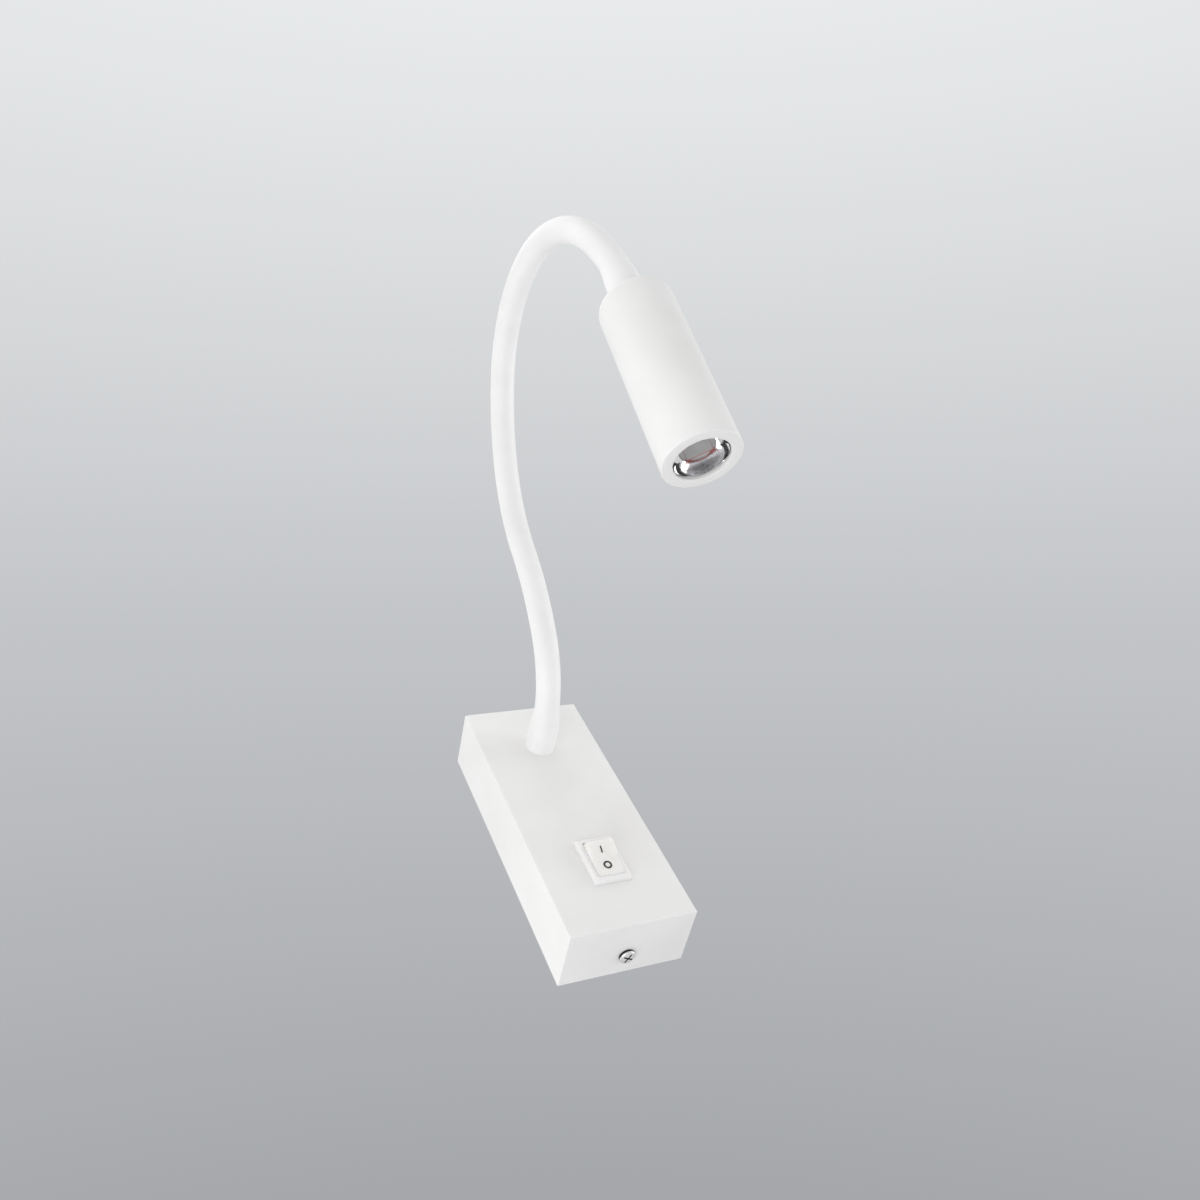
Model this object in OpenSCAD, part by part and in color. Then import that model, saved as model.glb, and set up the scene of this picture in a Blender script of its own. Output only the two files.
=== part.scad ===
// Flexible wall light: a box base with a rocker switch, a bendable arm and a cylindrical lamp head.
// The wall is the plane Y = 0, the front faces -Y and Z runs up the wall. The origin is the middle
// of the base's back face. All sizes are in millimetres.

/* [Base] */
// Height of the base on the wall
base_h = 120; // [116:1:150]
// Width of the base
base_w = 50; // [50:1:70]
// Depth of the base from the wall
base_d = 25; // [25:1:35]
// Sheet thickness of the cover
cover_wall = 1.5; // [1:0.1:1.8]
// Sheet thickness of the wall bracket
bracket_t = 1.5; // [1.2:0.1:2]
// Distance between the two wall slots
slot_pitch = 92; // [88:1:96]
// Width of a wall slot
slot_w = 4.5; // [4:0.1:5.5]
// Length of a wall slot from end to end
slot_len = 9; // [7:0.5:10]
// Bore of the supply cable's bush
cable_d = 7; // [5:0.5:8]
// Distance of the arm from the top end of the base
arm_inset = 24; // [22:1:28]
// Distance of the switch from the bottom end of the base
switch_inset = 30; // [26:1:32]
// Distance of the cover screws from the wall
screw_depth = 9; // [8:0.5:11]
// Thread of the cover screws
screw_d = 3; // [2.5:0.5:4]

/* [Switch] */
// Length of the switch flange
flange_l = 21; // [20.6:0.1:23]
// Width of the switch flange
flange_w = 15; // [14.2:0.1:17]
// Thickness of the switch flange
flange_t = 1.8; // [1.2:0.1:2.4]
// Length of the panel cut-out
cut_l = 19.2; // [18.6:0.1:20]
// Width of the panel cut-out
cut_w = 13; // [12:0.1:13.6]
// Full swing of the rocker between O and I
rocker_swing = 28; // [20:1:30]
// Height of the rocker's valley over the panel
rocker_rise = 3.4; // [3:0.1:4.5]

/* [Arm] */
// Diameter of the arm's sleeve
sleeve_d = 10; // [9.6:0.1:12]
// Bore of the sleeve
sleeve_bore = 7.2; // [6.8:0.1:7.6]
// Bore of the steel hose in the sleeve
hose_bore = 5; // [4.8:0.1:5.4]
// Diameter of the sleeve's foot on the base
foot_d = 12.2; // [11.5:0.1:15]
// Diameter of the sleeve's collar on the head
collar_d = 12.2; // [11.5:0.1:15]
// Straight length of the arm's root
root_len = 10; // [9:0.5:16]
// Length of one bending link
link_len = 39; // [34:1:46]
// Diameter of an LED lead
lead_d = 1.3; // [1:0.1:1.4]
// Thread of the nipples at the arm's ends
nipple_d = 8; // [7.8:0.1:9]

/* [Head] */
// Diameter of the head
head_d = 26; // [25.6:0.1:32]
// Length of the head
head_len = 69; // [62:1:90]
// Wall of the head's shell
head_wall = 1.8; // [1.2:0.1:2]
// Length of the neck between the sleeve and the head's body
neck_len = 1; // [0.5:0.5:2]
// Radius of the rounded back edge
head_round = 4; // [1:0.5:6]
// Diameter of the light opening
opening_d = 18.5; // [14:0.5:19]
// Length of the heat sink
sink_len = 22; // [14:1:26]

/* [Hidden] */
$fn = 48;

// Clearances
seat_gap = 0.4;     // bracket in the cover
hole_gap = 0.2;     // piece in its clearance hole
thread_gap = 0.05;  // screw in its thread
slide_gap = 0.05;   // sliding fit
pin_gap = 0.05;     // pivot pin in its hole
swing_gap = 0.3;    // rocker in its well
ball_gap = 0.35;    // ball end of one link in the cup of the next
step = 0.1;         // ball end below the sleeve's surface
over = 1;           // overshoot of a cut

// Base
front_y = -base_d;
inner_y = front_y + cover_wall;
inner_w = base_w - 2 * cover_wall;
inner_h = base_h - 2 * cover_wall;
arm_z = base_h / 2 - arm_inset;
switch_z = switch_inset - base_h / 2;
middle_z = (arm_z + switch_z) / 2;
side_gap = 1.5;     // inner pieces to the cover's side walls
bracket_w = inner_w - 2 * seat_gap;
bracket_h = inner_h - 2 * seat_gap;
tab_w = 16;
tab_d = screw_depth + 2 * screw_d;
tab_foot = 4;       // welded foot of a tab along the bracket
screw_len = 7;
screw_head_r = screw_d;
screw_head_h = 2.2;
recess_w = 0.8;     // arm width of a cross recess

// LED driver
driver_w = 22;
driver_l = 34;
driver_h = 15;
case_wall = 1.2;
board_t = 1.6;
board_post = 2.5;
board_play = 0.3;
driver_x = -inner_w / 2 + side_gap + driver_w / 2;
case_h = driver_h - case_wall;
driver_top = middle_z + driver_l / 2;
driver_end = middle_z - driver_l / 2;
post_r = 1.6;
post_in = 3;        // board post from the case's corner
trafo = [11, 10, 7];
trafo_at = [-2.5, 0.5, 0];
can_r = 3;
can_h = 7;
can_at = [-4.5, 10.5, 0];
choke_r = 3.2;
choke_h = 4.5;
choke_at = [5.2, -10, 0];
film = [3.5, 7, 6];
film_at = [6.7, 6.5, 0];

// Terminal block and supply entry
block_w = 15;
block_l = 17;
block_h = 12;
block_x = inner_w / 2 - side_gap - block_w / 2;
block_z = middle_z + driver_l / 2 - block_l / 2;
block_y = -bracket_t - block_h / 2;
pole_x = 3.75;      // each pole from the block's middle
tube_r = 2;
tube_bore_r = 1.4;
tube_l = block_l - 2;
clamp_z = 4.5;      // each clamping screw from the block's middle
clamp_r = 1.2;
bush_drop = 12;     // cable entry below the middle of the inner pieces
bush_z = middle_z - bush_drop;
bush_wall = 2;
bush_flange = 2;
bush_flange_t = 1.5;
bush_len = 6;
earth_rise = 1;     // earth screw above the switch's middle
earth_z = switch_z + earth_rise;
earth_r = 2;
wire_r = 0.9;
wire_hole = 6;      // length of the cut for a wire's hole

// Switch
body_l = cut_l - 2 * hole_gap;
body_w = cut_w - 2 * hole_gap;
body_wall_l = 0.8;
body_wall_w = 1;
body_depth = 12;
floor_t = 1.5;
well_l = body_l - 2 * body_wall_l;
well_w = body_w - 2 * body_wall_w;
pivot_depth = 2;    // pivot behind the panel's face
pivot_y = front_y + pivot_depth;
pivot_r = 1.2;
rocker_w = well_w - 2 * swing_gap;
rocker_slope = 8;   // each half of the rocker's valley
rocker_half = cos(rocker_swing / 2) *
    (well_l / 2 - swing_gap - (pivot_depth + flange_t) * tan(rocker_swing / 2));
skirt = 1.5;        // rocker below its pivot
skirt_in = 1;       // taper of the rocker's ends below the pivot
plunger_r = 1.2;
plunger_len = 4.3;  // from the pivot to the centre of the plunger's tip
strip_t = 0.6;
strip_w = 4;
strip_l = 12;
strip_tilt = 8;
plunger_gap = 0.15; // plunger to the strip in mid swing
strip_y = pivot_y + plunger_len + plunger_r + plunger_gap + strip_t;
blade_w = 4.8;
blade_t = 0.8;
blade_tail = 7.5;
common_gap = 0.15;  // strip to the blade it rocks on
switched_u = -5.2;  // switched blade from the switch's middle
switched_gap = 0.2; // strip to that blade when closed

// Arm: the rest bend of each link, from the base to the head, in degrees (positive bends up)
bends = [51, 19, -27, -23, -39, -40, -32, -21];
links = len(bends);
sleeve_r = sleeve_d / 2;
hose_r = sleeve_bore / 2 - slide_gap;
foot_r = foot_d / 2;
foot_len = 5;
foot_taper = 3;
collar_r = collar_d / 2;
collar_in_r = (sleeve_d + sleeve_bore) / 4;     // collar meets the sleeve inside its wall
ball_r = sleeve_r - step;
cup_r = ball_r + ball_gap;
ball_neck = 1;      // ball end continued into its own link
lead_off = 1.2;     // each lead from the arm's middle
lead_short = 0.6;   // lead end inside the ball's surface
lead_tip_r = lead_d / 2 - step / 2;
nipple_r = nipple_d / 2;
nipple_bore_r = 1.9;
spigot_len = 5;
spigot_gap = 0.2;   // spigot in the bent hose
nipple_spare = 2;   // thread past the nut
washer_t = 1;
washer_r = 7.2;
nut_t = 5;
nut_r = 7.5;        // over the corners
nipple_in = cover_wall + washer_t + nut_t + nipple_spare;

// Head, along its axis from the back face
head_r = head_d / 2;
bore_r = head_r - head_wall;
back_t = 3;
lip_t = 1.2;
round_z = neck_len + head_round;
edge = 0.4;         // small chamfers
lens_flange_t = 1.5;
lens_r = bore_r - 0.9;
lens_front = head_len - lip_t;
lens_seat = lens_front - lens_flange_t;
cone_front_r = lens_r - 1;
cone_back_r = 5.8;
lens_back = lens_seat - 5;
disc_t = 1.6;
board_front = lens_back - 1.2;
sink_front = board_front - disc_t;
cone_gap = 0.3;
disc_r = bore_r - 0.6;
sink_bore_r = 2.4;
groove_w = 2;
groove_depth = 3;
chip_w = 8;         // ceramic package of the LED
chip_t = 0.6;
chip_turn = 38;     // turn of the package about the head's axis
emitter_r = 2.6;
emitter_t = 0.2;
small_screw_r = 1;
small_head_r = 1.6;
small_head_h = 1.4;
small_screw_at = disc_r - 2;
small_screw_len = 5.5;

// Routes of the wires, tied to the pieces that they join
block_top = block_z + block_l / 2;
live_x = block_x + pole_x;
neutral_x = block_x - pole_x;
clamped = tube_l / 2 - clamp_z + 0.6;   // wire end past its clamping screw
lane_y = -bracket_t - block_h - wire_r - 1;
blade_end_y = front_y + body_depth + blade_tail;
neutral_in = driver_x + driver_w / 4;
live_route = [[live_x, block_y, block_top - clamped], [live_x, block_y, block_top + 2.5],
    [live_x - 0.5, block_y - 4.5, block_top + 4.5], [live_x - 1, lane_y, block_top],
    [live_x - 2, lane_y, middle_z - 4], [live_x - 5, lane_y + 3, driver_end + 2],
    [live_x - 11, blade_end_y - 3.5, switch_z + 11], [1.5, blade_end_y - 1.5, switch_z + 5],
    [1.5, blade_end_y - 1.5, switch_z + blade_t / 2 + 5 * slide_gap]];
switched_route = [[-1, blade_end_y - 1.5, switch_z + switched_u - blade_t / 2 - 5 * slide_gap],
    [-1, blade_end_y - 1.5, switch_z - 8.5], [-4, blade_end_y - 1.5, switch_z - 12.5],
    [driver_x + 2, blade_end_y - 1.5, switch_z - 11], [driver_x - 1, blade_end_y - 2.5, switch_z - 4],
    [driver_x - 1, -9.5, switch_z + 4], [driver_x - 1, -10, driver_end - 2],
    [driver_x - 1, -10, driver_end + 2]];
neutral_route = [[neutral_x, block_y, block_top - clamped], [neutral_x, block_y, block_top + 2.5],
    [neutral_x - 3, block_y, block_top + 5], [neutral_in + 3, block_y - 1.5, driver_top + 5],
    [neutral_in, block_y - 2, driver_top + 2.5], [neutral_in, block_y - 2, driver_top],
    [neutral_in, block_y - 2, driver_top - 2]];
// Middle route of the two LED leads from the driver into the nipple, and the side each is set off to
nipple_y = front_y + nipple_in;
lead_x = driver_x - 1;
lead_route = [[lead_x, -11, driver_top - 2], [lead_x, -11, driver_top + 2],
    [lead_x + 2, -10.5, (driver_top + arm_z) / 2], [lead_x + 6, nipple_y + 6, arm_z - 2.5],
    [-1.5, nipple_y + 5, arm_z], [0, nipple_y + 2, arm_z], [0, nipple_y, arm_z],
    [0, front_y, arm_z], [0, front_y - root_len - ball_r + lead_short, arm_z]];
lead_side = [[1, 0, 0], [1, 0, 0], [0.6, 0.8, 0], [0, 1, 0], [0.5, 0.8, 0],
    [1, 0, 0], [1, 0, 0], [1, 0, 0], [1, 0, 0]];

SLEEVES = [for (k = [0:links]) str("arm_sleeve_", k)];
HOSES = [for (k = [0:links]) str("arm_hose_", k)];
LEADS = [for (k = [0:links]) str("arm_leads_", k)];

// Direction of the arm at the start of link k, in degrees above straight out of the wall
function heading(k) = k <= 1 ? 0 : heading(k - 1) + bends[k - 2];

// Radius of link k's bend, negative where it bends down
function bend_r(k) = link_len * 180 / (PI * bends[k - 1]);

// Start of link k as [distance from the wall, height]; link 0 is the straight root
function arm_at(k) =
    k == 0 ? [base_d, arm_z] :
    k == 1 ? [base_d + root_len, arm_z] :
    arm_at(k - 1) + bend_r(k - 1) * [sin(heading(k)) - sin(heading(k - 1)),
                                     cos(heading(k - 1)) - cos(heading(k))];

// Unit vector, and a point on the smooth curve through the points p
function unit(v) = v / norm(v);
function near(p, i) = p[max(0, min(len(p) - 1, i))];
function on_curve(p, i, t) =
    let (a = near(p, i - 1), b = near(p, i), c = near(p, i + 1), d = near(p, i + 2))
    b + t * ((c - a) / 2 + t * ((a - 2.5 * b + 2 * c - d / 2) + t * (1.5 * (b - c) + (d - a) / 2)));

// Round wire swept along a route, with its frame carried from ring to ring
module wire(route, r, sides = 8, steps = 3) {
    last = len(route) - 1;
    path = concat([for (i = [0:last - 1]) for (j = [0:steps - 1]) on_curve(route, i, j / steps)],
                  [route[last]]);
    n = len(path);
    ahead = [for (i = [0:n - 1]) unit(near(path, i + 1) - near(path, i - 1))];
    first = unit(cross(ahead[0], abs(ahead[0].x) < 0.9 ? [1, 0, 0] : [0, 0, 1]));
    across = [for (i = 0, a = first; i < n;
                   i = i + 1, a = unit(a - (a * near(ahead, i)) * near(ahead, i))) a];
    points = [for (i = [0:n - 1]) for (j = [0:sides - 1])
        let (turn = 360 * j / sides)
        path[i] + r * (cos(turn) * across[i] + sin(turn) * cross(ahead[i], across[i]))];
    walls = [for (i = [0:n - 2]) for (j = [0:sides - 1])
        let (k = (j + 1) % sides, a = i * sides, b = a + sides)
        each [[a + j, b + k, a + k], [a + j, b + j, b + k]]];
    ends = [[for (j = [0:sides - 1]) j], [for (j = [0:sides - 1]) n * sides - 1 - j]];
    polyhedron(points, concat(ends, walls), convexity = 4);
}

// Frame at the start of link k: local Z runs along the arm, local Y is the upper side of the bend
module link_frame(k)
    translate([0, -arm_at(k)[0], arm_at(k)[1]]) rotate([90 - heading(k), 0, 0]) children();

// Frame on the back face of the head, local Z towards the lens
module head_frame() link_frame(links + 1) children();

// Local Z towards the wall
module towards_wall(x, y, z) translate([x, y, z]) rotate([-90, 0, 0]) children();

module ring(outer_r, inner_r, h) difference() {
    cylinder(r = outer_r, h = h);
    translate([0, 0, -over]) cylinder(r = inner_r, h = h + 2 * over);
}

module hex_nut(r, bore, h) difference() {
    cylinder(r = r, h = h, $fn = 6);
    translate([0, 0, -over]) cylinder(r = bore, h = h + 2 * over);
}

// Pan head screw with a cross recess: the head stands on Z = 0 and the thread runs down
module pan_screw(r, len, head_r, head_h) {
    crown = 0.6 * head_h;
    crown_r = (head_r * head_r + crown * crown) / (2 * crown);
    difference() {
        union() {
            translate([0, 0, -len]) cylinder(r = r, h = len + over / 2);
            intersection() {
                cylinder(r = head_r, h = head_h);
                translate([0, 0, head_h - crown_r]) sphere(crown_r, $fn = 64);
            }
        }
        for (turn = [0, 90])
            rotate(turn) translate([0, 0, head_h]) cube([1.2 * head_r, recess_w, head_h], center = true);
    }
}

// Tube or rod along link k over the length given, set off sideways by x
module link_run(k, r, bore = 0, run = link_len, x = 0) link_frame(k) translate([x, 0, 0])
    if (k == 0) linear_extrude(run) annulus(r, bore);
    else mirror([0, bends[k - 1] < 0 ? 1 : 0, 0])
        translate([0, abs(bend_r(k)), 0]) rotate([90, 0, -90])
            rotate_extrude(angle = abs(bends[k - 1]) * run / link_len)
                translate([abs(bend_r(k)), 0]) annulus(r, bore);

module annulus(r, bore) difference() {
    circle(r);
    if (bore > 0) circle(bore);
}

// Half ball on the joint at the end of link k, with a way through for the leads and a plug in the sleeve
module ball_end(k) link_frame(k + 1) rotate_extrude() intersection() {
    union() {
        circle(ball_r);
        translate([0, -ball_neck]) square([ball_r, ball_neck]);
    }
    translate([hose_bore / 2, -ball_neck]) square(2 * ball_r);
}

// Cup at the start of link k, around the ball of the link before it
module cup(k) if (k > 0) link_frame(k) sphere(cup_r);

module arm_sleeve(k) color("whitesmoke") difference() {
    union() {
        link_run(k, sleeve_r, sleeve_bore / 2, k == 0 ? root_len : link_len);
        if (k < links) ball_end(k);
        if (k == 0) link_frame(0) rotate_extrude() polygon([[sleeve_bore / 2 + step, 0], [foot_r, 0],
            [foot_r, foot_len], [sleeve_r - step, foot_len + foot_taper], [sleeve_bore / 2 + step, foot_len]]);
        if (k == links) head_frame() rotate_extrude() polygon([[collar_in_r, 0], [collar_r, 0],
            [collar_r, -foot_len], [collar_in_r, -foot_len - foot_taper *
            (collar_r - collar_in_r) / (collar_r - sleeve_r)]]);
    }
    cup(k);
}

module arm_hose(k) color("silver") difference() {
    link_run(k, hose_r, hose_bore / 2, (k == 0 ? root_len : link_len) - (k < links ? ball_neck + hole_gap : 0));
    cup(k);
}

module arm_leads(k) color("firebrick") for (side = [-1, 1])
    if (k == 0) wire(lead_route + side * lead_off * lead_side, lead_d / 2);
    else difference() {
        union() {
            link_run(k, lead_d / 2, x = side * lead_off);
            link_frame(k + 1) translate([side * lead_off, 0, -ball_neck])
                cylinder(r = lead_tip_r, h = ball_neck + (k < links ? ball_r - lead_short : sink_front));
        }
        cup(k);
    }

// Threaded tube through a wall of thickness t, with a spigot in the hose on the side of -Z
module nipple(t_in) difference() {
    union() {
        cylinder(r = nipple_r, h = t_in);
        translate([0, 0, -spigot_len]) cylinder(r = hose_bore / 2 - spigot_gap, h = spigot_len + over);
    }
    translate([0, 0, -spigot_len - over]) cylinder(r = nipple_bore_r, h = spigot_len + t_in + 2 * over);
}

module arm_nipple() color("goldenrod") towards_wall(0, front_y, arm_z) nipple(nipple_in);

module arm_washer() color("silver")
    towards_wall(0, inner_y, arm_z) ring(washer_r, nipple_r + hole_gap, washer_t);

module arm_nut() color("silver")
    towards_wall(0, inner_y + washer_t, arm_z) hex_nut(nut_r, nipple_r + thread_gap, nut_t);

module base_cover() color("white") difference() {
    translate([-base_w / 2, front_y, -base_h / 2]) cube([base_w, base_d, base_h]);
    translate([-inner_w / 2, inner_y, -inner_h / 2]) cube([inner_w, base_d, inner_h]);
    towards_wall(0, front_y - over, arm_z) cylinder(r = nipple_r + hole_gap, h = cover_wall + 2 * over);
    translate([-cut_w / 2, front_y - over, switch_z - cut_l / 2])
        cube([cut_w, cover_wall + 2 * over, cut_l]);
    for (end = [-1, 1]) translate([0, -screw_depth, end * base_h / 2])
        cylinder(r = screw_d / 2 + hole_gap, h = 4 * cover_wall, center = true);
}

module wall_slot(z) towards_wall(0, -bracket_t - over, z) {
    half = (slot_len - slot_w) / 2;
    for (end = [-1, 1]) translate([0, end * half, 0]) cylinder(r = slot_w / 2, h = bracket_t + 2 * over);
    translate([-slot_w / 2, -half, 0]) cube([slot_w, 2 * half, bracket_t + 2 * over]);
}

module wall_bracket() color("gainsboro") difference() {
    translate([-bracket_w / 2, -bracket_t, -bracket_h / 2]) cube([bracket_w, bracket_t, bracket_h]);
    for (end = [-1, 1]) wall_slot(end * slot_pitch / 2);
    towards_wall(block_x, -bracket_t - over, bush_z)
        cylinder(r = cable_d / 2 + bush_wall + hole_gap, h = bracket_t + 2 * over);
    towards_wall(block_x, -bracket_t - over, earth_z) cylinder(r = earth_r, h = bracket_t + 2 * over);
}

// Angle pieces welded to the bracket's ends, with the threads of the cover screws
module bracket_tabs() color("gainsboro") for (end = [0, 180]) rotate([0, end, 0]) difference() {
    translate([-tab_w / 2, 0, bracket_h / 2 - bracket_t]) {
        translate([0, -tab_d, 0]) cube([tab_w, tab_d - bracket_t, bracket_t]);
        translate([0, -2 * bracket_t, -tab_foot]) cube([tab_w, bracket_t, tab_foot + bracket_t / 2]);
    }
    translate([0, -screw_depth, bracket_h / 2])
        cylinder(r = screw_d / 2 + thread_gap, h = 4 * bracket_t, center = true);
}

module cover_screws() color("lightgray") for (end = [0, 180]) rotate([0, end, 0])
    translate([0, -screw_depth, base_h / 2]) pan_screw(screw_d / 2, screw_len, screw_head_r, screw_head_h);

module cable_bush() color("dimgray") towards_wall(block_x, -bush_len, bush_z) difference() {
    union() {
        cylinder(r = cable_d / 2 + bush_wall, h = bush_len);
        translate([0, 0, bush_len - bracket_t - bush_flange_t])
            cylinder(r = cable_d / 2 + bush_wall + bush_flange, h = bush_flange_t);
    }
    translate([0, 0, -over]) cylinder(r = cable_d / 2, h = bush_len + 2 * over);
}

module earth_screw() color("goldenrod") rotate([90, 0, 0]) translate([block_x, earth_z, bracket_t]) {
    pan_screw(earth_r - thread_gap, bracket_t - hole_gap, 2 * earth_r, 1.2 * earth_r);
    ring(2.3 * earth_r, earth_r - thread_gap, 0.4 * earth_r);
}

// Children at each pole of the terminal block, local Z up along the pole
module each_pole() for (side = [-1, 1]) translate([block_x + side * pole_x, block_y, block_z]) children();

// Children at each clamping screw of a pole, local Z out of the block's front
module each_clamp() for (end = [-1, 1]) translate([0, 0, end * clamp_z]) rotate([90, 0, 0]) children();

module terminal_block() color("ivory") difference() {
    translate([block_x, block_y, block_z]) cube([block_w, block_h, block_l], center = true);
    each_pole() {
        cylinder(r = tube_r + slide_gap, h = 2 * block_l, center = true);
        each_clamp() cylinder(r = clamp_r + hole_gap, h = block_h);
    }
}

module terminal_tubes() color("gold") difference() {
    each_pole() cylinder(r = tube_r, h = tube_l, center = true);
    each_pole() {
        cylinder(r = tube_bore_r, h = block_l, center = true);
        each_clamp() cylinder(r = clamp_r + thread_gap, h = block_h);
    }
}

module terminal_screws() color("silver") each_pole() each_clamp() difference() {
    translate([0, 0, wire_r + slide_gap]) cylinder(r = clamp_r, h = block_h / 2 - 2 * wire_r);
    translate([0, 0, block_h / 2 - wire_r]) cube([3 * clamp_r, recess_w / 2, 2 * recess_w], center = true);
}

// Frame in the middle of the driver's seat on the bracket, local Z away from the wall, local Y up
module driver_frame() translate([driver_x, -bracket_t, middle_z]) rotate([90, 0, 0]) children();

module driver_case() color("white") difference() {
    driver_frame() {
        difference() {
            translate([-driver_w / 2, -driver_l / 2, 0]) cube([driver_w, driver_l, case_h]);
            translate([-driver_w / 2 + case_wall, -driver_l / 2 + case_wall, case_wall])
                cube([driver_w - 2 * case_wall, driver_l - 2 * case_wall, case_h]);
        }
        for (x = [-1, 1], y = [-1, 1])
            translate([x * (driver_w / 2 - post_in), y * (driver_l / 2 - post_in), case_wall / 2])
                cylinder(r = post_r, h = board_post + case_wall / 2);
    }
    translate(neutral_route[len(neutral_route) - 1]) cylinder(r = wire_r + hole_gap, h = wire_hole);
    translate(switched_route[len(switched_route) - 1])
        translate([0, 0, -wire_hole]) cylinder(r = wire_r + hole_gap, h = wire_hole);
    for (side = [-1, 1]) translate(lead_route[0] + side * lead_off * lead_side[0])
        cylinder(r = lead_d / 2 + hole_gap, h = wire_hole);
}

module driver_lid() color("white") driver_frame() {
    translate([-driver_w / 2, -driver_l / 2, case_h]) cube([driver_w, driver_l, case_wall]);
    lip_w = driver_w - 2 * case_wall - 2 * hole_gap;
    lip_l = driver_l - 2 * case_wall - 2 * hole_gap;
    difference() {
        translate([-lip_w / 2, -lip_l / 2, case_h - case_wall]) cube([lip_w, lip_l, 1.5 * case_wall]);
        translate([case_wall - lip_w / 2, case_wall - lip_l / 2, case_h - 2 * case_wall])
            cube([lip_w - 2 * case_wall, lip_l - 2 * case_wall, 2 * case_wall]);
    }
}

module driver_board() color("darkgreen") driver_frame() {
    w = driver_w - 2 * case_wall - 2 * board_play;
    l = driver_l - 2 * case_wall - 2 * board_play;
    translate([-w / 2, -l / 2, case_wall + board_post]) cube([w, l, board_t]);
}

// Transformer, two smoothing capacitors, a choke and a film capacitor on the board
module driver_parts() color("black") driver_frame() translate([0, 0, case_wall + board_post + board_t]) {
    translate(trafo_at + [0, 0, trafo.z / 2]) cube(trafo, center = true);
    for (end = [-1, 1]) translate([can_at.x, end * can_at.y, 0]) cylinder(r = can_r, h = can_h);
    translate(choke_at) cylinder(r = choke_r, h = choke_h);
    translate(film_at + [0, 0, film.z / 2]) cube(film, center = true);
}

module mains_wires() color("sienna") {
    wire(live_route, wire_r);
    wire(switched_route, wire_r);
    wire(neutral_route, wire_r);
}

// Side outline of the switch, extruded along X: outline X runs up the wall, outline Y out of it
module side_outline(w) rotate([180, -90, 0]) linear_extrude(w, center = true) children();

module blade(u, top_y) translate([-blade_w / 2, top_y, switch_z + u - blade_t / 2])
    cube([blade_w, front_y + body_depth + blade_tail - top_y, blade_t]);

module switch_blades() color("gold") {
    blade(0, strip_y + common_gap);
    blade(switched_u, strip_y + abs(switched_u) * sin(strip_tilt) + switched_gap);
}

module switch_body() color("white") difference() {
    union() {
        translate([-flange_w / 2, front_y - flange_t, switch_z - flange_l / 2])
            cube([flange_w, flange_t, flange_l]);
        translate([-body_w / 2, front_y, switch_z - body_l / 2]) cube([body_w, body_depth, body_l]);
    }
    translate([-well_w / 2, front_y - flange_t - over, switch_z - well_l / 2])
        cube([well_w, flange_t + over + body_depth - floor_t, well_l]);
    translate([0, pivot_y, switch_z]) rotate([0, 90, 0])
        cylinder(r = pivot_r + pin_gap, h = body_w + over, center = true);
    switch_blades();
}

// Rocker at rest with its O end pressed: a shallow valley on top, pivot pins and a spring plunger
module switch_rocker() color("ivory") translate([0, pivot_y, switch_z]) rotate([rocker_swing / 2, 0, 0]) {
    valley = pivot_depth + rocker_rise;
    crest = valley + rocker_half * tan(rocker_slope);
    side_outline(rocker_w) polygon([[0, valley], [rocker_half, crest], [rocker_half, pivot_r],
        [rocker_half - skirt_in, -skirt], [skirt_in - rocker_half, -skirt], [-rocker_half, pivot_r],
        [-rocker_half, crest]]);
    rotate([0, 90, 0]) cylinder(r = pivot_r, h = body_w - 2 * pin_gap, center = true);
    towards_wall(0, 0, 0) {
        cylinder(r = plunger_r, h = plunger_len);
        translate([0, 0, plunger_len]) sphere(plunger_r);
    }
}

// Contact strip that rocks on the middle blade, the other way from the rocker
module switch_contact() color("orange") translate([0, strip_y, switch_z]) rotate([-strip_tilt, 0, 0])
    translate([-strip_w / 2, -strip_t, -strip_l / 2]) cube([strip_w, strip_t, strip_l]);

module head_shell() color("white") head_frame() difference() {
    rotate_extrude() {
        polygon([[0, round_z], [head_r, round_z], [head_r, head_len - edge],
            [head_r - edge, head_len], [0, head_len]]);
        translate([0, neck_len]) square([head_r - head_round, head_round]);
        translate([head_r - head_round, round_z]) circle(head_round);
        square([collar_r, neck_len + step]);
    }
    translate([0, 0, back_t]) cylinder(r = bore_r, h = head_len);
    translate([0, 0, -over]) cylinder(r = nipple_r + hole_gap, h = back_t + 2 * over);
}

// Front ring with a lip over the lens
module head_ring() color("white") head_frame() difference() {
    translate([0, 0, lens_seat + 2 * slide_gap])
        cylinder(r = bore_r - slide_gap, h = head_len - lens_seat - 2 * slide_gap);
    translate([0, 0, lens_seat - over]) cylinder(r = lens_r + 2 * slide_gap, h = lens_flange_t + over);
    translate([0, 0, lens_seat]) cylinder(r = opening_d / 2, h = head_len);
    translate([0, 0, head_len - edge])
        cylinder(r1 = opening_d / 2, r2 = opening_d / 2 + 2 * edge, h = 2 * edge);
}

// Clear optic: a flange under the ring's lip and a flat-backed cone over the LED
module lens() color("lightcyan") head_frame() {
    translate([0, 0, lens_seat]) cylinder(r = lens_r, h = lens_flange_t);
    translate([0, 0, lens_back]) cylinder(r1 = cone_back_r, r2 = cone_front_r, h = lens_seat - lens_back);
}

// Children at each LED board screw
module each_small_screw() for (side = [-1, 1]) translate([0, side * small_screw_at, board_front]) children();

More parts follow.
